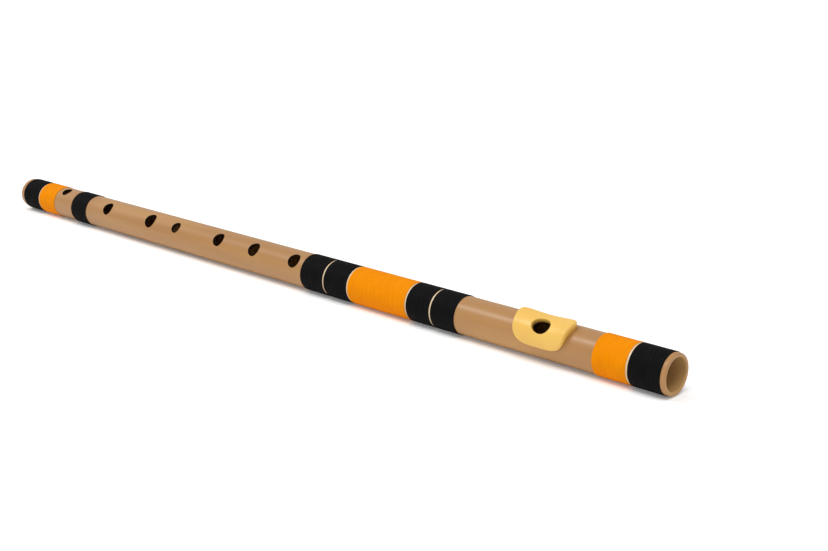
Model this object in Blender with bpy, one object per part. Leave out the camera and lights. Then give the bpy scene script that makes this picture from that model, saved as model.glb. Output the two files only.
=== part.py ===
"""Bansuri: a one-piece side-blown flute, as a standalone Blender 4.5 script in metres with +Z up.

+X points to the head end, where the player blows, and -X to the foot. The flute lies as it would on a table,
with its finger holes turned towards -Y. The origin is in the middle of the base of its bounding box.
"""

import math

import bmesh
import bpy
from mathutils import Matrix, Vector

# Tube. One facet lies flat at the bottom, for any number of sides
OUTER_DIAMETER = 0.025
WALL = 0.0024
OUTER_RIM_CHAMFER = 0.0008
BORE_RIM_CHAMFER = 0.0008
SIDES = 48

# Directions that the holes face, as angles from straight up towards -Y. The plate is centred on the row of
# finger holes
HOLE_ROLL = math.radians(47.5)
EMBOUCHURE_ROLL = math.radians(42.5)
VENT_ROLL = math.radians(23.0)

# Holes. The fourth is small because the note above it is only a semitone away
EMBOUCHURE_LENGTH = 0.0130
EMBOUCHURE_WIDTH = 0.0088
FINGER_HOLE_DIAMETERS = (0.0105, 0.0105, 0.0105, 0.0088, 0.0115, 0.0105)
VENT_DIAMETER = 0.0087
HOLE_SEGMENTS = 24

# How far a hole's cutter reaches past the wall it cuts, inside and outside
CUTTER_REACH = 0.0050

# Lengths along the tube, in order from the head end to the foot end
HEAD_RIM = 0.0030
HEAD_BLACK_WRAP = 0.0214
HEAD_ORANGE_WRAP = 0.0230
HEAD_WRAPS_TO_EMBOUCHURE = 0.0387
EMBOUCHURE_TO_MID_WRAPS = 0.0665
MID_BLACK_WRAP_HEAD_SIDE = 0.01995
MID_ORANGE_WRAP = 0.0527
MID_BLACK_WRAP_FOOT_SIDE = 0.02225
MID_WRAPS_TO_HOLE_1 = 0.0103
FINGER_HOLE_SPACINGS = (0.0435, 0.0406, 0.0520, 0.0331, 0.0583)
HOLE_6_TO_LOWER_WRAP = 0.0278
LOWER_BLACK_WRAP = 0.0215
LOWER_WRAP_TO_VENT = 0.0170
VENT_TO_FOOT_WRAPS = 0.0095
FOOT_ORANGE_WRAP = 0.0231
FOOT_BLACK_WRAP = 0.0233
FOOT_RIM = 0.0050

# Thread wraps, as smooth sleeves. A narrow ring of bare tube shows between neighbours
WRAP_THICKNESS = 0.0004
WRAP_CLEARANCE = 0.0001
WRAP_GAP = 0.0014

# Lip plate, measured along the tube and round its surface. "Lower" is the side of the player's lower lip.
# Its outline is a superellipse that tapers towards the lower lip: a higher squareness has tighter corners
PLATE_UPPER_LENGTH = 0.0440
PLATE_LOWER_LENGTH = 0.0344
PLATE_REACH_UPPER = 0.0112
PLATE_REACH_LOWER = 0.0111
PLATE_UPPER_SQUARENESS = 5.0
PLATE_LOWER_SQUARENESS = 3.8
PLATE_THICKNESS = 0.0027
PLATE_LOWER_THICKNESS = 0.0011
PLATE_SADDLE_RISE = 0.0020
PLATE_EDGE_DROP = 0.0005
PLATE_EDGE_WIDTH = 0.0014
PLATE_GLUE_LINE = 0.0002
PLATE_SECTORS = 64
PLATE_RINGS = 6

# Tuning stopper: a cork in the bore, on the head side of the embouchure hole
STOPPER_LENGTH = 0.0200
STOPPER_TO_EMBOUCHURE = 0.0200
STOPPER_CLEARANCE = 0.0001
STOPPER_CHAMFER = 0.0006

# Faces that meet at less than this angle are shaded as one smooth surface
SHARP_ANGLE = math.radians(30)

# Colours as sRGB, then roughness
TAN = ((0.722, 0.545, 0.357), 0.42)
BLACK = ((0.095, 0.092, 0.098), 0.62)
ORANGE = ((0.960, 0.590, 0.020), 0.60)
YELLOW = ((0.945, 0.765, 0.400), 0.34)
CORK = ((0.620, 0.440, 0.270), 0.85)

TUBE_RADIUS = OUTER_DIAMETER / 2
BORE_RADIUS = TUBE_RADIUS - WALL
WRAP_RADIUS = TUBE_RADIUS + WRAP_CLEARANCE + WRAP_THICKNESS
PLATE_SEAT_RADIUS = TUBE_RADIUS + PLATE_GLUE_LINE


def lay_out():
    """Distances from the head end: each wrap's ends and colour, the holes' centres, the tube's length."""
    wraps = {}
    mark = HEAD_RIM

    def wrap(name, width, colour):
        nonlocal mark
        wraps[name] = (mark, mark + width, colour)
        mark += width + WRAP_GAP

    wrap("head_black_wrap", HEAD_BLACK_WRAP, "black")
    wrap("head_orange_wrap", HEAD_ORANGE_WRAP, "orange")
    embouchure = mark - WRAP_GAP + HEAD_WRAPS_TO_EMBOUCHURE
    mark = embouchure + EMBOUCHURE_TO_MID_WRAPS
    wrap("mid_black_wrap_1", MID_BLACK_WRAP_HEAD_SIDE, "black")
    wrap("mid_black_wrap_2", MID_BLACK_WRAP_HEAD_SIDE, "black")
    wrap("mid_orange_wrap", MID_ORANGE_WRAP, "orange")
    wrap("mid_black_wrap_3", MID_BLACK_WRAP_FOOT_SIDE, "black")
    wrap("mid_black_wrap_4", MID_BLACK_WRAP_FOOT_SIDE, "black")
    finger_holes = [mark - WRAP_GAP + MID_WRAPS_TO_HOLE_1]
    for spacing in FINGER_HOLE_SPACINGS:
        finger_holes.append(finger_holes[-1] + spacing)
    mark = finger_holes[-1] + HOLE_6_TO_LOWER_WRAP
    wrap("lower_black_wrap", LOWER_BLACK_WRAP, "black")
    vent = mark - WRAP_GAP + LOWER_WRAP_TO_VENT
    mark = vent + VENT_TO_FOOT_WRAPS
    wrap("foot_orange_wrap", FOOT_ORANGE_WRAP, "orange")
    wrap("foot_black_wrap", FOOT_BLACK_WRAP, "black")
    return wraps, embouchure, finger_holes, vent, mark - WRAP_GAP + FOOT_RIM


WRAPS, EMBOUCHURE, FINGER_HOLES, VENT, LENGTH = lay_out()


def along(distance):
    """X of a point at this distance from the head end."""
    return LENGTH / 2 - distance


def outward(roll):
    """Unit vector out of the tube at this angle from straight up, towards -Y."""
    return Vector((0.0, -math.sin(roll), math.cos(roll)))


def clear_scene():
    for obj in list(bpy.data.objects):
        bpy.data.objects.remove(obj, do_unlink=True)


def linear(channel):
    """Linear light of one sRGB channel, which is what a Principled BSDF takes."""
    if channel <= 0.04045:
        return channel / 12.92
    return ((channel + 0.055) / 1.055) ** 2.4


def material(name, look):
    srgb, roughness = look
    made = bpy.data.materials.new(name)
    made.use_nodes = True
    shader = made.node_tree.nodes["Principled BSDF"]
    shader.inputs["Base Color"].default_value = (*map(linear, srgb), 1.0)
    shader.inputs["Roughness"].default_value = roughness
    shader.inputs["Metallic"].default_value = 0.0
    return made


def add_object(name, mesh, look, axis_place):
    """The object, with its outside faces shaded smooth and its local X axis on the bore's axis."""
    mesh.shade_smooth()
    mesh.set_sharp_from_angle(angle=SHARP_ANGLE)
    obj = bpy.data.objects.new(name, mesh)
    obj.location = axis_place
    obj.data.materials.append(look)
    bpy.context.scene.collection.objects.link(obj)
    return obj


def turned(name, profile, hollow):
    """A profile of (x, radius) points turned about X: head to foot outside, then back inside if hollow."""
    mesh = bpy.data.meshes.new(name)
    bm = bmesh.new()
    rings = []
    for x, radius in profile:
        ring = []
        for k in range(SIDES):
            angle = (k + 0.5) * 2 * math.pi / SIDES - math.pi / 2
            ring.append(bm.verts.new((x, radius * math.cos(angle), radius * math.sin(angle))))
        rings.append(ring)
    pairs = list(zip(rings, rings[1:]))
    if hollow:
        pairs.append((rings[-1], rings[0]))
    else:
        bm.faces.new(rings[0])
        bm.faces.new(list(reversed(rings[-1])))
    for near, far in pairs:
        for k in range(SIDES):
            after = (k + 1) % SIDES
            bm.faces.new((near[k], far[k], far[after], near[after]))
    bm.to_mesh(mesh)
    bm.free()
    return mesh


def hole_cutter(name, x, roll, length, width, axis_place):
    """A hidden prism of oval section through one wall of the tube, facing this roll."""
    inner = BORE_RADIUS - CUTTER_REACH
    outer = TUBE_RADIUS + CUTTER_REACH
    mesh = bpy.data.meshes.new(name)
    bm = bmesh.new()
    bmesh.ops.create_cone(
        bm, cap_ends=True, segments=HOLE_SEGMENTS, radius1=0.5, radius2=0.5, depth=outer - inner
    )
    bmesh.ops.scale(bm, vec=(length, width, 1.0), verts=bm.verts)
    bmesh.ops.translate(bm, vec=(0.0, 0.0, (inner + outer) / 2), verts=bm.verts)
    bm.transform(Matrix.Translation((x, 0.0, 0.0)) @ Matrix.Rotation(roll, 4, "X"))
    bm.to_mesh(mesh)
    bm.free()
    cutter = bpy.data.objects.new(name, mesh)
    cutter.location = axis_place
    cutter.hide_render = True
    cutter.display_type = "WIRE"
    bpy.context.scene.collection.objects.link(cutter)
    return cutter


def build_tube(look, axis_place):
    head, foot = along(0.0), along(LENGTH)
    profile = [
        (head, TUBE_RADIUS - OUTER_RIM_CHAMFER),
        (head - OUTER_RIM_CHAMFER, TUBE_RADIUS),
        (foot + OUTER_RIM_CHAMFER, TUBE_RADIUS),
        (foot, TUBE_RADIUS - OUTER_RIM_CHAMFER),
        (foot, BORE_RADIUS + BORE_RIM_CHAMFER),
        (foot + BORE_RIM_CHAMFER, BORE_RADIUS),
        (head - BORE_RIM_CHAMFER, BORE_RADIUS),
        (head, BORE_RADIUS + BORE_RIM_CHAMFER),
    ]
    tube = add_object("tube", turned("tube", profile, hollow=True), look, axis_place)
    cuts = [("embouchure_cut", EMBOUCHURE, EMBOUCHURE_ROLL, EMBOUCHURE_LENGTH, EMBOUCHURE_WIDTH)]
    for number, (distance, diameter) in enumerate(zip(FINGER_HOLES, FINGER_HOLE_DIAMETERS), 1):
        cuts.append((f"finger_hole_cut_{number}", distance, HOLE_ROLL, diameter, diameter))
    cuts.append(("vent_cut", VENT, VENT_ROLL, VENT_DIAMETER, VENT_DIAMETER))
    for name, distance, roll, length, width in cuts:
        cutter = hole_cutter(name, along(distance), roll, length, width, axis_place)
        cut = tube.modifiers.new(name, "BOOLEAN")
        cut.operation = "DIFFERENCE"
        cut.object = cutter


def build_wraps(looks, axis_place):
    for name, (start, end, colour) in WRAPS.items():
        inner = TUBE_RADIUS + WRAP_CLEARANCE
        profile = [
            (along(start), WRAP_RADIUS),
            (along(end), WRAP_RADIUS),
            (along(end), inner),
            (along(start), inner),
        ]
        add_object(name, turned(name, profile, hollow=True), looks[colour], axis_place)


def build_stopper(look, axis_place):
    radius = BORE_RADIUS - STOPPER_CLEARANCE
    face = EMBOUCHURE - STOPPER_TO_EMBOUCHURE
    head_side, foot_side = along(face - STOPPER_LENGTH), along(face)
    profile = [
        (head_side, radius - STOPPER_CHAMFER),
        (head_side - STOPPER_CHAMFER, radius),
        (foot_side + STOPPER_CHAMFER, radius),
        (foot_side, radius - STOPPER_CHAMFER),
    ]
    add_object("tuning_stopper", turned("tuning_stopper", profile, hollow=False), look, axis_place)


def plate_outline(turn):
    """(along, round) of the plate's edge at this turn round it, from its centre: a tapered superellipse."""
    upper = math.sin(turn) >= 0
    squareness = PLATE_UPPER_SQUARENESS if upper else PLATE_LOWER_SQUARENESS
    reach = PLATE_REACH_UPPER if upper else PLATE_REACH_LOWER
    size = (abs(math.cos(turn)) ** squareness + abs(math.sin(turn)) ** squareness) ** (-1 / squareness)
    height = size * math.sin(turn)
    length = PLATE_LOWER_LENGTH + (PLATE_UPPER_LENGTH - PLATE_LOWER_LENGTH) * (height + 1) / 2
    return length / 2 * size * math.cos(turn), reach * height


def plate_thickness(a, b):
    """Thickness at a along the tube and b round it: thin at the lower lip, full above, ends raised."""
    climb = min(max((b + PLATE_REACH_LOWER) / PLATE_REACH_LOWER, 0.0), 1.0)
    smooth = climb * climb * (3 - 2 * climb)
    full = PLATE_THICKNESS + PLATE_SADDLE_RISE * (2 * a / PLATE_UPPER_LENGTH) ** 2
    return PLATE_LOWER_THICKNESS + (full - PLATE_LOWER_THICKNESS) * smooth


def plate_rows():
    """Rows of (along, round, height over the seat), one a sector: up the hole, over, down, back below."""
    rows = []
    hole_rise = (HOLE_ROLL - EMBOUCHURE_ROLL) * TUBE_RADIUS
    for sector in range(PLATE_SECTORS):
        turn = 2 * math.pi * sector / PLATE_SECTORS
        edge = Vector(plate_outline(turn))
        across = EMBOUCHURE_WIDTH / 2 * math.sin(turn)
        hole = Vector((EMBOUCHURE_LENGTH / 2 * math.cos(turn), hole_rise + across))
        shoulder = edge - edge.normalized() * PLATE_EDGE_WIDTH
        row = [(*hole, 0.0)]
        for ring in range(PLATE_RINGS):
            place = hole.lerp(shoulder, ring / (PLATE_RINGS - 1))
            row.append((*place, plate_thickness(*place)))
        row.append((*edge, plate_thickness(*edge) - PLATE_EDGE_DROP))
        for ring in range(PLATE_RINGS - 1):
            row.append((*edge.lerp(hole, ring / (PLATE_RINGS - 1)), 0.0))
        rows.append(row)
    return rows


def plate_point(a, b, height):
    """The point in the flute's axis frame: b is an arc on the tube's surface, measured up from the hole."""
    roll = HOLE_ROLL - b / TUBE_RADIUS
    return Vector((along(EMBOUCHURE) + a, 0.0, 0.0)) + outward(roll) * (PLATE_SEAT_RADIUS + height)


def plate_mesh():
    mesh = bpy.data.meshes.new("lip_plate")
    bm = bmesh.new()
    rows = [[bm.verts.new(plate_point(*place)) for place in row] for row in plate_rows()]
    for row, after in zip(rows, rows[1:] + rows[:1]):
        count = len(row)
        for k in range(count):
            step = (k + 1) % count
            bm.faces.new((row[k], row[step], after[step], after[k]))
    bm.to_mesh(mesh)
    bm.free()
    return mesh


def axis_location(plate):
    """Where the bore's axis lies when the wraps rest on Z = 0 and the bounding box is centred on Y = 0."""
    flat = math.cos(math.pi / SIDES)
    reach = [vert.co.y for vert in plate.vertices]
    round_y = [
        WRAP_RADIUS * math.cos((k + 0.5) * 2 * math.pi / SIDES - math.pi / 2) for k in range(SIDES)
    ]
    middle = (min(reach + round_y) + max(reach + round_y)) / 2
    return Vector((0.0, -middle, WRAP_RADIUS * flat))


def main():
    clear_scene()
    tan = material("tube_tan", TAN)
    wrap_looks = {"black": material("thread_black", BLACK), "orange": material("thread_orange", ORANGE)}
    plate = plate_mesh()
    axis_place = axis_location(plate)
    build_tube(tan, axis_place)
    build_wraps(wrap_looks, axis_place)
    add_object("lip_plate", plate, material("plate_yellow", YELLOW), axis_place)
    build_stopper(material("cork", CORK), axis_place)
    print(f"tube {LENGTH * 1000:.1f} mm long, bore axis at Y {axis_place.y:.6f}, Z {axis_place.z:.6f}")


main()
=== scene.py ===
# %% [markdown]
# Dressing a bansuri: a side-blown flute made of one smooth tan tube, bound with black and orange thread.
# The measured solids come first, as a frame. Everything made below sits exactly where those solids are.

# %% The frame
import math

import bmesh
import bpy
import numpy as np
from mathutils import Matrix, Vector


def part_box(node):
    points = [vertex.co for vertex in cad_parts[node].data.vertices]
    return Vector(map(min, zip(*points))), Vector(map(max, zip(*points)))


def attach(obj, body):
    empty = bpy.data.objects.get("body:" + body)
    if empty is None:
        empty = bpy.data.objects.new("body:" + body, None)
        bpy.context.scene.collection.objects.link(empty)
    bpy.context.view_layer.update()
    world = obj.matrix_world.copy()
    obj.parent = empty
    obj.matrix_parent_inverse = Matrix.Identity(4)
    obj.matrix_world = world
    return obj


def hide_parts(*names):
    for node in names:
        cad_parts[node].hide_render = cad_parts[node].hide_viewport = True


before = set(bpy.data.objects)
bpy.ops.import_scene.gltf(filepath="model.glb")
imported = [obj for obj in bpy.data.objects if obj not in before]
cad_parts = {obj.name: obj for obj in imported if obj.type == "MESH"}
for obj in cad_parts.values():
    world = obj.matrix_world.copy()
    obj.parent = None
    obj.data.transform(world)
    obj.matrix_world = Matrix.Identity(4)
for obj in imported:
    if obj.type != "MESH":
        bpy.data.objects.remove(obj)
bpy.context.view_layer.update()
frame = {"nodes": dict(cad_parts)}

tube_low, tube_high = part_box("tube")
wrap_low, wrap_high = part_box("mid_orange_wrap")
AXIS_Y = (tube_low.y + tube_high.y) / 2
AXIS_Z = (tube_low.z + tube_high.z) / 2

# %% [markdown]
# Sizes that the surfaces below share, in metres. The flute lies rolled towards the camera, so each row of
# holes faces its own angle from straight up.

# %% Shared sizes
OUTER_RADIUS = 0.0125
BORE_RADIUS = 0.0101
HOLE_ROLL = math.radians(47.5)
EMBOUCHURE_ROLL = math.radians(42.5)
VENT_ROLL = math.radians(23.0)
EMBOUCHURE_SIZE = (0.0130, 0.0088)
VENT_DIAMETER = 0.0087
FINGER_HOLES = {
    0.02455: 0.0105,
    -0.01895: 0.0105,
    -0.05955: 0.0105,
    -0.11155: 0.0088,
    -0.14465: 0.0115,
    -0.20295: 0.0105,
}
EMBOUCHURE_X = 0.24405
VENT_X = -0.26925


def on_tube(x, roll, radius):
    """Points at x along the bore, at this angle from straight up towards -Y, this far from the axis."""
    x, roll, radius = np.broadcast_arrays(x, roll, radius)
    return np.stack([x, AXIS_Y - radius * np.sin(roll), AXIS_Z + radius * np.cos(roll)], axis=-1)


# %% [markdown]
# A surface is an array of points on a grid. One helper turns grids into a mesh, joining neighbours with
# quads and closing a direction that runs round. Merging by distance then seals seams where grids meet.

# %% Grids to mesh
SEAM = 0.000002


def grid_faces(rows, columns, start, wrap_rows=False, wrap_columns=False):
    """Quads between neighbouring grid points: corner numbers are row times columns plus column."""
    r = np.arange(rows if wrap_rows else rows - 1)
    c = np.arange(columns if wrap_columns else columns - 1)
    r, c = np.meshgrid(r, c, indexing="ij")
    after_r = (r + 1) % rows
    after_c = (c + 1) % columns
    corners = [r * columns + c, r * columns + after_c, after_r * columns + after_c, after_r * columns + c]
    return np.stack(corners, axis=-1).reshape(-1, 4) + start


def make_piece(name, points, faces, body, replaced, merge=0.0, marks=None):
    """A smooth mesh object from points and quads, on its body, with its normals pointing out.
    Marks are named numbers, one for each point, that a finish can read."""
    mesh = bpy.data.meshes.new(name)
    mesh.from_pydata(points.tolist(), [], faces.tolist())
    for mark, values in (marks or {}).items():
        mesh.attributes.new(mark, "FLOAT", "POINT").data.foreach_set("value", np.float32(values))
    bm = bmesh.new()
    bm.from_mesh(mesh)
    if merge:
        bmesh.ops.remove_doubles(bm, verts=bm.verts, dist=merge)
        bmesh.ops.dissolve_degenerate(bm, dist=merge, edges=bm.edges)
    bmesh.ops.recalc_face_normals(bm, faces=bm.faces)
    bm.to_mesh(mesh)
    bm.free()
    mesh.shade_smooth()
    piece = bpy.data.objects.new(name, mesh)
    bpy.context.scene.collection.objects.link(piece)
    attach(piece, body)
    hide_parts(replaced)
    print(name, "has", len(mesh.polygons), "faces")
    return piece


# %% [markdown]
# A finish is a node tree. Writing its sums as Python expressions keeps them readable, so one small class
# wraps a socket and turns + - * into Math nodes.

# %% Finishes as expressions
class Signal:
    """A number or colour that varies over a surface: the output of some node in a finish."""

    def __init__(self, finish, socket):
        self.finish = finish
        self.socket = socket

    def sum_with(self, operation, first, second):
        return self.finish.node("ShaderNodeMath", {"operation": operation}, {0: first, 1: second})

    def __add__(self, other):
        return self.sum_with("ADD", self, other)

    def __sub__(self, other):
        return self.sum_with("SUBTRACT", self, other)

    def __rsub__(self, other):
        return self.sum_with("SUBTRACT", other, self)

    def __mul__(self, other):
        return self.sum_with("MULTIPLY", self, other)

    __radd__ = __add__
    __rmul__ = __mul__


class Finish:
    """A material with one Principled shader, built up from signals."""

    def __init__(self, name, roughness, **constants):
        self.material = bpy.data.materials.new(name)
        self.material.use_nodes = True
        self.tree = self.material.node_tree
        self.shader = self.tree.nodes["Principled BSDF"]
        self.feed("Roughness", roughness)
        for socket, value in constants.items():
            self.shader.inputs[socket.replace("_", " ")].default_value = value
        self.place = self.node("ShaderNodeTexCoord", output="Object")

    def plug(self, socket, value):
        if isinstance(value, Signal):
            self.tree.links.new(value.socket, socket)
        else:
            socket.default_value = value

    def node(self, kind, settings=None, inputs=None, output=0):
        made = self.tree.nodes.new(kind)
        for setting, value in (settings or {}).items():
            setattr(made, setting, value)
        for socket, value in (inputs or {}).items():
            self.plug(made.inputs[socket], value)
        return Signal(self, made.outputs[output])

    def feed(self, socket, value):
        self.plug(self.shader.inputs[socket], value)

    def stretched(self, scale):
        inputs = {"Vector": self.place, "Scale": scale}
        return self.node("ShaderNodeMapping", {"vector_type": "POINT"}, inputs)

    def noise(self, scale, stretch=(1, 1, 1), detail=3.0):
        inputs = {"Vector": self.stretched(stretch), "Scale": scale, "Detail": detail}
        return self.node("ShaderNodeTexNoise", inputs=inputs)

    def mark(self, name):
        """A number that the mesh carries at each point."""
        return self.node("ShaderNodeAttribute", {"attribute_name": name}, output="Fac")

    def ramp(self, value, low, high):
        """Value from 0 at low to 1 at high, held beyond."""
        inputs = {"Value": value, "From Min": low, "From Max": high}
        return self.node("ShaderNodeMapRange", {"clamp": True}, inputs)

    def mix(self, share, first, second):
        """Index 0 of a Mix node is its factor, 6 and 7 its colours, and output 2 the colour made."""
        return self.node("ShaderNodeMix", {"data_type": "RGBA"}, {0: share, 6: first, 7: second}, output=2)

    def bump(self, height, distance, strength=1.0):
        inputs = {"Height": height, "Distance": distance, "Strength": strength}
        self.feed("Normal", self.node("ShaderNodeBump", inputs=inputs))


def colour(hex_code):
    """Linear colour of a six-digit sRGB code."""
    channels = [int(hex_code[k:k + 2], 16) / 255 for k in (0, 2, 4)]
    return (*[c / 12.92 if c <= 0.04045 else ((c + 0.055) / 1.055) ** 2.4 for c in channels], 1.0)


# %% [markdown]
# The tube is moulded, not cut from cane: an even tan, faintly streaked along its length, with a satin
# gloss. The bore is rougher and browner, the walls of the holes carry painted shade in near black, and the
# narrow rings between neighbouring wraps are pale. The mesh marks where each begins.

# %% Tan tube finish
tan = Finish("tube_tan", 0.36, Specular_IOR_Level=0.5)
streaks = tan.noise(60.0, stretch=(0.06, 1, 1), detail=4.0)
clouds = tan.noise(22.0, stretch=(0.5, 1, 1), detail=2.0)
grain = tan.noise(900.0, stretch=(0.1, 1, 1))
warm = tan.mix(tan.ramp(streaks, 0.35, 0.65), colour("a67741"), colour("bb8b4e"))
skin = tan.mix(tan.ramp(clouds, 0.4, 0.7), warm, colour("a87a49"))
ringed = tan.mix(tan.mark("pale_ring"), skin, colour("dcc19c"))
bore = tan.mix(tan.ramp(streaks, 0.35, 0.65), colour("af8853"), colour("ba935c"))
inside = tan.mix(tan.mark("bore"), ringed, bore)
# Painted shade: the walls of the holes are coloured near black, standing in for the shade deep in each
# hole.
tan.feed("Base Color", tan.mix(tan.mark("hole_wall_shade"), inside, colour("1d130c")))
tan.feed("Roughness", 0.33 + 0.10 * grain + 0.30 * tan.mark("bore"))
tan.bump(grain, 0.00002)


# %% [markdown]
# Thread is dyed yarn: matt, with a little sheen, and no two turns catch quite the same dye.

# %% Thread finishes
def thread_finish(name, dark, light):
    finish = Finish(name, 0.62, Specular_IOR_Level=0.04)
    turns = finish.noise(420.0, stretch=(3.0, 0.25, 0.25), detail=2.0)
    fibres = finish.noise(2600.0, stretch=(1, 0.2, 0.2))
    finish.feed("Base Color", finish.mix(finish.ramp(turns, 0.35, 0.65), colour(dark), colour(light)))
    finish.feed("Roughness", 0.50 + 0.20 * fibres)
    finish.bump(fibres, 0.00004)
    return finish


black_thread = thread_finish("thread_black", "0c0b0c", "131213")
orange_thread = thread_finish("thread_orange", "e28400", "ec8d00")

# %% [markdown]
# The lip plate is a glossier yellow plastic with soft moulding marks. Cork is matt, with dark pores.

# %% Plate and cork finishes
yellow = Finish("plate_yellow", 0.28, Specular_IOR_Level=0.45)
cast = yellow.noise(90.0, detail=2.0)
yellow.feed("Base Color", yellow.mix(yellow.ramp(cast, 0.35, 0.7), colour("eabc59"), colour("e5b656")))
yellow.feed("Roughness", 0.30 + 0.10 * cast)
yellow.bump(cast, 0.0001)

cork = Finish("cork", 0.85)
pores = cork.node("ShaderNodeTexVoronoi", {"feature": "F1"}, {"Vector": cork.place, "Scale": 650.0})
cells = cork.noise(500.0, detail=5.0)
bark = cork.mix(cork.ramp(cells, 0.35, 0.65), colour("9a6c43"), colour("b98a5c"))
cork.feed("Base Color", cork.mix(cork.ramp(pores, 0.10, 0.28), colour("5c3a20"), bark))
cork.bump(cells, 0.0002)

# %% [markdown]
# The tube is two coaxial surfaces, outside and bore, joined at rounded end rims. Each hole is a patch of
# rings: they start on a rectangle of the grid, close in to an oval rim, roll over a soft lip, go straight
# down through the wall and spread out again on the bore. The grid leaves that rectangle open. It has rows
# at the edges of the narrow gaps between wraps too, where the mark for their paler colour starts and ends.

# %% Tube surface
COLUMNS = 192
PATCH_MARGIN = 0.0022
PATCH_ROWS = 13
PATCH_RINGS = 7
LIP_RADIUS = 0.00035
LIP_STEPS = 5
RIM_ROUNDING = 0.0009
BORE_ROUNDING = 0.0009
RIM_STEPS = 6
WIDEST_RING = 0.003
RESTING = 0.0001
RING_FADE = 0.0003
rolls = HOLE_ROLL + np.arange(COLUMNS) * 2 * math.pi / COLUMNS
holes = [(EMBOUCHURE_X, EMBOUCHURE_ROLL, EMBOUCHURE_SIZE[0] / 2, EMBOUCHURE_SIZE[1] / 2)]
holes += [(x, HOLE_ROLL, size / 2, size / 2) for x, size in FINGER_HOLES.items()]
holes += [(VENT_X, VENT_ROLL, VENT_DIAMETER / 2, VENT_DIAMETER / 2)]


def hole_block(hole):
    """Rows of x across a hole's rectangle, and the grid columns that it spans."""
    x, roll, half_length, half_width = hole
    reach = half_length + PATCH_MARGIN
    span = math.asin((half_width + PATCH_MARGIN) / OUTER_RADIUS)
    offset = (rolls - roll + math.pi) % (2 * math.pi) - math.pi
    inside = np.nonzero(np.abs(offset) <= span)[0]
    order = inside[np.argsort(offset[inside])]
    return np.linspace(x + reach, x - reach, PATCH_ROWS), order


def hole_patch(hole):
    """Rings from the rectangle outside, through the hole, to the rectangle on the bore."""
    x, roll, half_length, half_width = hole
    rows, columns = hole_block(hole)
    angles = (rolls[columns] - roll + math.pi) % (2 * math.pi) - math.pi
    edge_x = np.concatenate([
        np.full(len(angles) - 1, rows[0]), rows[:-1], np.full(len(angles) - 1, rows[-1]), rows[:0:-1]
    ])
    edge_angle = np.concatenate([
        angles[:-1], np.full(len(rows) - 1, angles[-1]), angles[:0:-1], np.full(len(rows) - 1, angles[0])
    ])

    def place(along, across, radius):
        """Across is measured square to the hole's own direction, so the wall runs straight."""
        return on_tube(along, roll + np.arcsin(across / radius), radius)

    def spread(radius, rim_gap, shares):
        turn = np.arctan2(OUTER_RADIUS * np.sin(edge_angle) / half_width, (edge_x - x) / half_length)
        rim_x = x + (half_length + rim_gap) * np.cos(turn)
        rim_across = (half_width + rim_gap) * np.sin(turn)
        edge_across = radius * np.sin(edge_angle)
        return [
            place(edge_x + (rim_x - edge_x) * s, edge_across + (rim_across - edge_across) * s, radius)
            for s in shares
        ]

    shares = np.linspace(0.0, 1.0, PATCH_RINGS)
    rings = spread(OUTER_RADIUS, LIP_RADIUS, shares)
    turns = np.linspace(0.0, math.pi / 2, LIP_STEPS)[1:]
    for turn in turns:
        gap = LIP_RADIUS * (1 - math.sin(turn))
        rings += spread(OUTER_RADIUS - LIP_RADIUS * (1 - math.cos(turn)), gap, [1.0])
    for turn in turns[::-1]:
        gap = LIP_RADIUS * (1 - math.sin(turn))
        rings += spread(BORE_RADIUS + LIP_RADIUS * (1 - math.cos(turn)), gap, [1.0])
    rings += spread(BORE_RADIUS, LIP_RADIUS, shares[::-1])
    wall = np.zeros(len(rings))
    wall[PATCH_RINGS + 1:-PATCH_RINGS] = 1.0
    bore = np.zeros(len(rings))
    bore[-PATCH_RINGS:] = 1.0
    return np.stack(rings), wall, bore


def rim_profile(end, inward):
    """(x, radius) of one end: a round outer edge, the flat face, a round bore edge."""
    turns = np.linspace(0.0, math.pi / 2, RIM_STEPS)

    def rounded(radius, rounding, turn):
        """A point of the quarter round that leaves the wall at this radius and ends on the flat face."""
        return end + inward * abs(rounding) * (1 - math.sin(turn)), radius - rounding * (1 - math.cos(turn))

    outer = [rounded(OUTER_RADIUS, RIM_ROUNDING, turn) for turn in turns]
    inner = [rounded(BORE_RADIUS, -BORE_ROUNDING, turn) for turn in turns[::-1]]
    return outer + inner


head, foot = tube_high.x, tube_low.x
blocks = [hole_block(hole) for hole in holes]
wrap_ends = sorted((low.x, high.x) for low, high in map(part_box, frame["nodes"]) if low.z < RESTING)
gaps = [(start, end) for (_, start), (end, _) in zip(wrap_ends, wrap_ends[1:]) if end - start < WIDEST_RING]
ring_x = np.array(gaps).ravel()
fade_x = np.array([(start - RING_FADE, end + RING_FADE) for start, end in gaps]).ravel()
row_x = np.unique(np.concatenate([rows for rows, _ in blocks] + [ring_x, fade_x]))[::-1]
outer_rows = [(x, OUTER_RADIUS) for x in row_x]
bore_rows = [(x, BORE_RADIUS) for x in row_x[::-1]]
profile = outer_rows + rim_profile(foot, 1) + bore_rows + rim_profile(head, -1)[::-1]
profile_x = np.array([x for x, _ in profile])
profile_radius = np.array([radius for _, radius in profile])
points = [on_tube(profile_x[:, None], rolls[None, :], profile_radius[:, None]).reshape(-1, 3)]
quads = grid_faces(len(profile), COLUMNS, 0, wrap_rows=True, wrap_columns=True)
quad_row = np.repeat(np.arange(len(profile)), COLUMNS)
quad_column = np.tile(np.arange(COLUMNS), len(profile))
middle_x = (profile_x[quad_row] + profile_x[(quad_row + 1) % len(profile)]) / 2
kept = np.ones(len(quads), bool)
for rows, columns in blocks:
    across = np.isin(quad_column, columns[:-1])
    kept &= ~(across & (middle_x < rows[0]) & (middle_x > rows[-1]))
faces = [quads[kept]]
on_skin = profile_radius > OUTER_RADIUS - RIM_ROUNDING
ring_marks = [np.repeat(on_skin & np.isin(profile_x, ring_x), COLUMNS)]
wall_shade_marks = [np.zeros(len(profile) * COLUMNS)]
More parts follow.
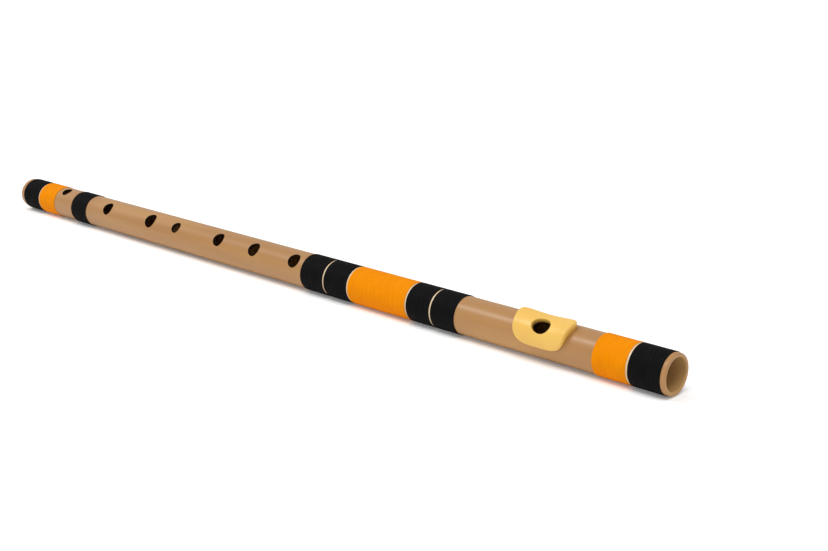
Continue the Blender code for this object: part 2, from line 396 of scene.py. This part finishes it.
bore_marks = [np.repeat(profile_radius < BORE_RADIUS + BORE_ROUNDING / 2, COLUMNS)]
for hole in holes:
    patch, wall, bore_share = hole_patch(hole)
    start = sum(len(p) for p in points)
    faces.append(grid_faces(patch.shape[0], patch.shape[1], start, wrap_columns=True))
    points.append(patch.reshape(-1, 3))
    ring_marks.append(np.zeros(len(points[-1])))
    wall_shade_marks.append(np.repeat(wall, patch.shape[1]))
    bore_marks.append(np.repeat(bore_share, patch.shape[1]))
# The hole-wall mark says where the painted shade of the holes goes.
marks = {
    "hole_wall_shade": np.concatenate(wall_shade_marks),
    "bore": np.concatenate(bore_marks),
    "pale_ring": np.concatenate(ring_marks),
}
tube = make_piece("tube_body", np.concatenate(points), np.concatenate(faces), "flute", "tube",
                  merge=SEAM, marks=marks)
tube.data.materials.append(tan.material)

# %% [markdown]
# A thread wrap is one long thread wound side by side, so its surface is a helix of fine round ridges. The
# radius rises and falls once a turn of thread, and the crest moves along by one pitch each time round.

# %% Thread wraps
THREAD_PITCH = 0.00046
RIDGE_DEPTH = 0.00009
WRAP_COLUMNS = 96
POINTS_PER_TURN = 4
SHOULDER = 0.00025
SHOULDER_DROP = 0.7
UNDERSIDE_GAP = 0.00003
FINE_WANDER = 0.088
BROAD_WANDER = 0.12
CREST_RADIUS = AXIS_Z - wrap_low.z


def wound_sleeve(name, finish):
    """Radius = crest minus ridge depth times (1 - |cos(pi * turns)|), rounded down at both ends."""
    low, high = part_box(name)
    rows = int((high.x - low.x) / THREAD_PITCH * POINTS_PER_TURN)
    x = np.linspace(high.x, low.x, rows)[:, None]
    angle = np.arange(WRAP_COLUMNS)[None, :] * 2 * math.pi / WRAP_COLUMNS
    wander = FINE_WANDER * np.sin(9 * angle + x * 900) + BROAD_WANDER * np.sin(angle + x * 350)
    ridge = np.abs(np.cos(math.pi * (x / THREAD_PITCH + (angle + wander) / (2 * math.pi))))
    radius = CREST_RADIUS - RIDGE_DEPTH * (1 - ridge)
    from_end = np.minimum(high.x - x, x - low.x)
    shoulder = np.clip(from_end / SHOULDER, 0.0, 1.0)
    drop = (CREST_RADIUS - OUTER_RADIUS) * SHOULDER_DROP
    radius = radius - drop * (1 - np.sqrt(1 - (1 - shoulder) ** 2))
    inner = np.full_like(radius[:2], OUTER_RADIUS + UNDERSIDE_GAP)
    all_x = np.concatenate([np.broadcast_to(x, radius.shape), [np.full(WRAP_COLUMNS, low.x)],
                            [np.full(WRAP_COLUMNS, high.x)]])
    grid = on_tube(all_x, angle, np.concatenate([radius, inner]))
    faces = grid_faces(len(grid), WRAP_COLUMNS, 0, wrap_rows=True, wrap_columns=True)
    piece = make_piece(name + "_thread", grid.reshape(-1, 3), faces, "flute", name)
    piece.data.materials.append(finish.material)
    return piece


for node in frame["nodes"]:
    if node.endswith("_black_wrap") or "black_wrap_" in node:
        wound_sleeve(node, black_thread)
    elif node.endswith("orange_wrap"):
        wound_sleeve(node, orange_thread)

# %% [markdown]
# The lip plate is a moulded saddle. Seen flat, its outline is a superellipse: an oval with its corners
# pulled out, here longer on the upper side. It is thin where the lower lip lies and thick above the hole.
# Its edges roll over in quarter ovals, which catch the light. Its ends rise a hair less than the measured
# solid's, so that the finer surface stays inside the solid's box.

# %% Lip plate
PLATE_UPPER_LENGTH = 0.0440
PLATE_LOWER_LENGTH = 0.0344
PLATE_REACH_UPPER = 0.0112
PLATE_REACH_LOWER = 0.0111
PLATE_UPPER_SQUARENESS = 5.0
PLATE_LOWER_SQUARENESS = 3.8
PLATE_THICKNESS = 0.0027
PLATE_LOWER_THICKNESS = 0.0011
PLATE_SADDLE_RISE = 0.0019
PLATE_GLUE_LINE = 0.0002
PLATE_COLUMNS = 224
EDGE_ROLL_WIDTH = 0.0012
EDGE_ROLL_SHARE = 0.45
HOLE_ROLL_RADIUS = 0.0005
HOLE_ROLL_STEPS = 7
TOP_STEPS = 15
EDGE_ROLL_STEPS = 9
UNDER_STEPS = 9
UNDER_DEPTH = 0.85 * PLATE_GLUE_LINE


def plate_thickness(along, across):
    """A smooth step up from the lower lip's side to the hole, plus a saddle that rises to both ends."""
    climb = np.clip((across + PLATE_REACH_LOWER) / PLATE_REACH_LOWER, 0.0, 1.0)
    smooth = climb * climb * (3 - 2 * climb)
    full = PLATE_THICKNESS + PLATE_SADDLE_RISE * (2 * along / PLATE_UPPER_LENGTH) ** 2
    return PLATE_LOWER_THICKNESS + (full - PLATE_LOWER_THICKNESS) * smooth


def plate_rows():
    """Rows of (along, across, height) round the plate: up the hole, out to the edge, over and back."""
    turn = np.arange(PLATE_COLUMNS) * 2 * math.pi / PLATE_COLUMNS
    cos, sin = np.cos(turn), np.sin(turn)
    squareness = np.where(sin >= 0, PLATE_UPPER_SQUARENESS, PLATE_LOWER_SQUARENESS)
    size = (np.abs(cos) ** squareness + np.abs(sin) ** squareness) ** (-1 / squareness)
    length = PLATE_LOWER_LENGTH + (PLATE_UPPER_LENGTH - PLATE_LOWER_LENGTH) * (size * sin + 1) / 2
    reach = np.where(sin >= 0, PLATE_REACH_UPPER, PLATE_REACH_LOWER)
    edge = np.stack([length / 2 * size * cos, reach * size * sin])
    tangent = np.roll(edge, -1, axis=1) - np.roll(edge, 1, axis=1)
    inward = np.stack([-tangent[1], tangent[0]]) / np.linalg.norm(tangent, axis=0)
    middle = np.array([[0.0], [(HOLE_ROLL - EMBOUCHURE_ROLL) * OUTER_RADIUS]])
    spoke = np.stack([EMBOUCHURE_SIZE[0] / 2 * cos, EMBOUCHURE_SIZE[1] / 2 * sin])
    outward = spoke / np.linalg.norm(spoke, axis=0)
    under = np.full(PLATE_COLUMNS, -UNDER_DEPTH)
    rows = [(*(middle + spoke), under)]
    for t in np.linspace(0.0, math.pi / 2, HOLE_ROLL_STEPS):
        place = middle + spoke + outward * HOLE_ROLL_RADIUS * (1 - math.cos(t))
        rows.append((*place, plate_thickness(*place) - HOLE_ROLL_RADIUS * (1 - math.sin(t))))
    rim = middle + spoke + outward * HOLE_ROLL_RADIUS
    shoulder = edge + inward * EDGE_ROLL_WIDTH
    for share in np.linspace(0.0, 1.0, TOP_STEPS)[1:]:
        place = rim + (shoulder - rim) * share
        rows.append((*place, plate_thickness(*place)))
    for t in np.linspace(0.0, math.pi / 2, EDGE_ROLL_STEPS)[1:]:
        place = edge + inward * EDGE_ROLL_WIDTH * (1 - math.sin(t))
        full = plate_thickness(*place)
        rows.append((*place, full * (1 - EDGE_ROLL_SHARE * (1 - math.cos(t)))))
    for share in np.linspace(0.0, 1.0, UNDER_STEPS)[:-1]:
        rows.append((*(edge + (middle + spoke - edge) * share), under))
    return np.array(rows)


rows = plate_rows()
grid = on_tube(EMBOUCHURE_X + rows[:, 0], HOLE_ROLL - rows[:, 1] / OUTER_RADIUS,
               OUTER_RADIUS + PLATE_GLUE_LINE + rows[:, 2])
faces = grid_faces(len(rows), PLATE_COLUMNS, 0, wrap_rows=True, wrap_columns=True)
plate = make_piece("lip_plate_moulding", grid.reshape(-1, 3), faces, "flute", "lip_plate")
plate.data.materials.append(yellow.material)

# %% [markdown]
# The tuning stopper is turned from cork. Cut cork is never quite smooth, so its surface wavers a little.

# %% Tuning stopper
STOPPER_COLUMNS = 128
STOPPER_ROUNDING = 0.0006
STOPPER_WAVER = 0.00006
FACE_RINGS = 12
SIDE_RINGS = 30
ROUNDING_STEPS = 5
low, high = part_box("tuning_stopper")
stopper_radius = (high.z - low.z) / 2 - STOPPER_WAVER
turns = np.linspace(0.0, math.pi / 2, ROUNDING_STEPS)
face_radii = np.linspace(0.0, stopper_radius - STOPPER_ROUNDING, FACE_RINGS)
near_x = np.concatenate([np.full(FACE_RINGS, high.x), high.x - STOPPER_ROUNDING * (1 - np.cos(turns[1:]))])
near_radius = np.concatenate([face_radii, stopper_radius - STOPPER_ROUNDING * (1 - np.sin(turns[1:]))])
side_x = np.linspace(high.x - STOPPER_ROUNDING, low.x + STOPPER_ROUNDING, SIDE_RINGS)[1:-1]
stopper_x = np.concatenate([near_x, side_x, low.x + high.x - near_x[::-1]])[:, None]
side_radius = np.full(len(side_x), stopper_radius)
stopper_r = np.concatenate([near_radius, side_radius, near_radius[::-1]])[:, None]
angle = np.arange(STOPPER_COLUMNS)[None, :] * 2 * math.pi / STOPPER_COLUMNS
waver = STOPPER_WAVER * np.sin(7 * angle + 900 * stopper_x) * np.sin(3 * angle - 400 * stopper_x)
grid = on_tube(stopper_x, angle, stopper_r + waver * (stopper_r > 0))
faces = grid_faces(len(grid), STOPPER_COLUMNS, 0, wrap_columns=True)
stopper = make_piece("stopper_cork", grid.reshape(-1, 3), faces, "stopper", "tuning_stopper",
                     merge=SEAM)
stopper.data.materials.append(cork.material)

# %% [markdown]
# The floor is plain and pale. Camera rays see it a little brighter than it lights the flute, so it reads as
# white and keeps only the tight shadow under the tube.

# %% Floor
FLOOR_SIZE = 30.0
FLOOR_LIFT = 0.12
floor_mesh = bpy.data.meshes.new("floor")
side = FLOOR_SIZE / 2
corners = [(-side, -side, 0), (side, -side, 0), (side, side, 0), (-side, side, 0)]
floor_mesh.from_pydata(corners, [], [(0, 1, 2, 3)])
floor = bpy.data.objects.new("floor", floor_mesh)
bpy.context.scene.collection.objects.link(floor)
floor_finish = Finish("floor_white", 0.9, Specular_IOR_Level=0.0, Emission_Strength=FLOOR_LIFT)
floor_finish.feed("Base Color", colour("ffffff"))
seen = floor_finish.node("ShaderNodeLightPath", output="Is Camera Ray")
floor_finish.feed("Emission Color", floor_finish.mix(seen, colour("000000"), colour("ffffff")))
floor_mesh.materials.append(floor_finish.material)

# %% [markdown]
# The camera stands at the head end, a little above the flute, and looks along it towards the middle.

# %% Camera
CAMERA_PLACE = (0.69025, -0.59071, 0.26926)
CAMERA_TARGET = (0.09235, 0.04253, 0.01300)
CAMERA_LENS = 56.77
camera_data = bpy.data.cameras.new("camera")
camera_data.lens = CAMERA_LENS
camera_data.sensor_width = 36.0
camera_data.clip_start = 0.01
camera = bpy.data.objects.new("camera", camera_data)
camera.location = CAMERA_PLACE
look = Vector(CAMERA_TARGET) - Vector(CAMERA_PLACE)
camera.rotation_euler = look.to_track_quat("-Z", "Y").to_euler()
bpy.context.scene.collection.objects.link(camera)
bpy.context.scene.camera = camera

# %% [markdown]
# Plain studio light: a bright even room, a broad soft lamp above, a smaller one that draws the gloss line
# along the tube, and nothing coloured.

# %% Light
ROOM_STRENGTH = 0.66
world = bpy.data.worlds.new("studio")
bpy.context.scene.world = world
world.use_nodes = True
tree = world.node_tree
room = tree.nodes["Background"]
room.inputs["Color"].default_value = (1, 1, 1, 1)
room.inputs["Strength"].default_value = ROOM_STRENGTH
backdrop = tree.nodes.new("ShaderNodeBackground")
backdrop.inputs["Strength"].default_value = 1.0
rays = tree.nodes.new("ShaderNodeLightPath")
chosen = tree.nodes.new("ShaderNodeMixShader")
tree.links.new(rays.outputs["Is Camera Ray"], chosen.inputs["Fac"])
tree.links.new(room.outputs["Background"], chosen.inputs[1])
tree.links.new(backdrop.outputs["Background"], chosen.inputs[2])
tree.links.new(chosen.outputs["Shader"], tree.nodes["World Output"].inputs["Surface"])
LAMPS = {
    "soft_lamp": ((0.25, -0.3, 1.4), 1.05, 30),
    "gloss_lamp": ((-0.54, -0.39, 0.75), 0.75, 12),
}
for name, (place, energy, angle) in LAMPS.items():
    lamp_data = bpy.data.lights.new(name, "SUN")
    lamp_data.energy = energy
    lamp_data.angle = math.radians(angle)
    lamp = bpy.data.objects.new(name, lamp_data)
    lamp.location = place
    lamp.rotation_euler = (-lamp.location).to_track_quat("-Z", "Y").to_euler()
    bpy.context.scene.collection.objects.link(lamp)
bpy.context.scene.view_settings.view_transform = "Standard"
